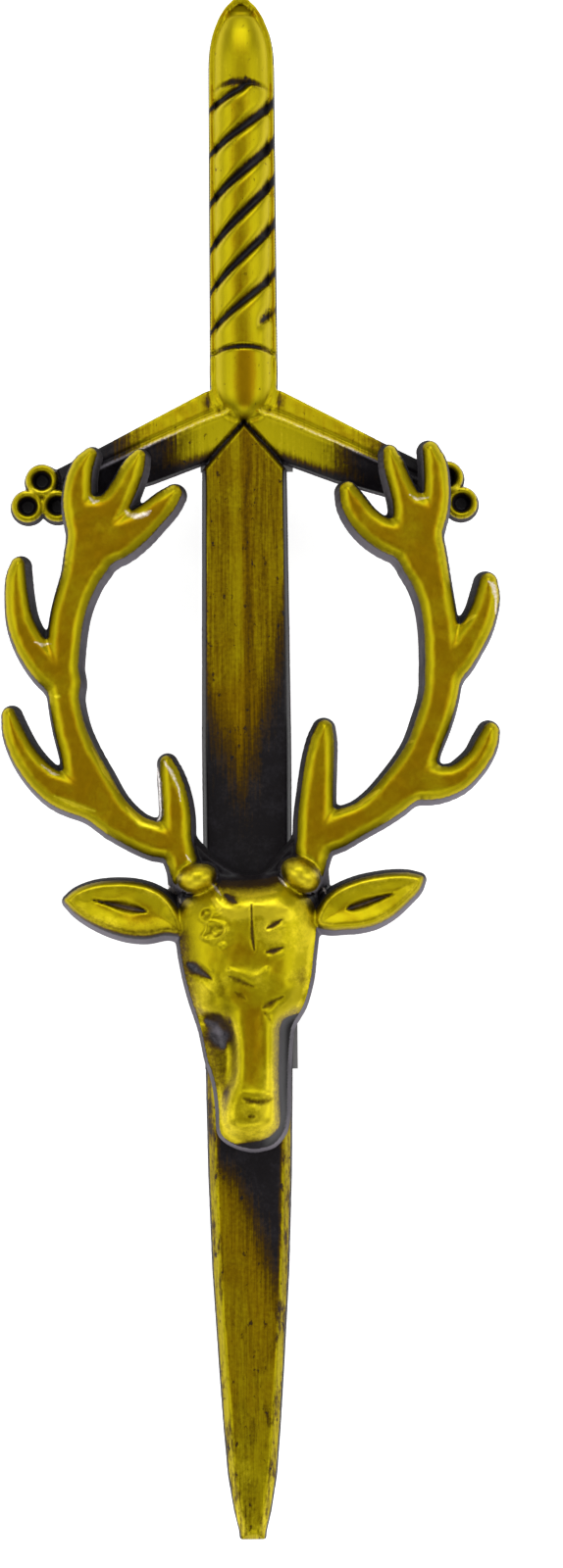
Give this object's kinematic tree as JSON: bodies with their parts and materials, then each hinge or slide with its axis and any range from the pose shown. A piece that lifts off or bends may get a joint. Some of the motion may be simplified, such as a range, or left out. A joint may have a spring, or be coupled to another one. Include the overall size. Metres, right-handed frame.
{
  "type": "kilt pin",
  "caption": "Kilt pin in antique brass: a short sword with a grooved grip and ringed guard, a stag's head with branching antlers on its blade, and a brooch fitting on the back.",
  "frame": {"origin": "on the surface that the pin lies on, face up, under the middle of its box", "axes": "+X to the right of the face, +Y to the pommel, +Z out of the face"},
  "size_m": [0.0323, 0.1, 0.0129],
  "materials": {
    "sword_brass": "cast and brushed brass, darkened to black in the low parts",
    "stag_brass": "cast brass, polished on top, dark on the side walls",
    "pin_steel": "plated sheet and wire"
  },
  "bodies": {
    "root": {"sword": "sword_brass", "stag_head": "stag_brass", "brooch_pin": "pin_steel"}
  },
  "joints": []
}
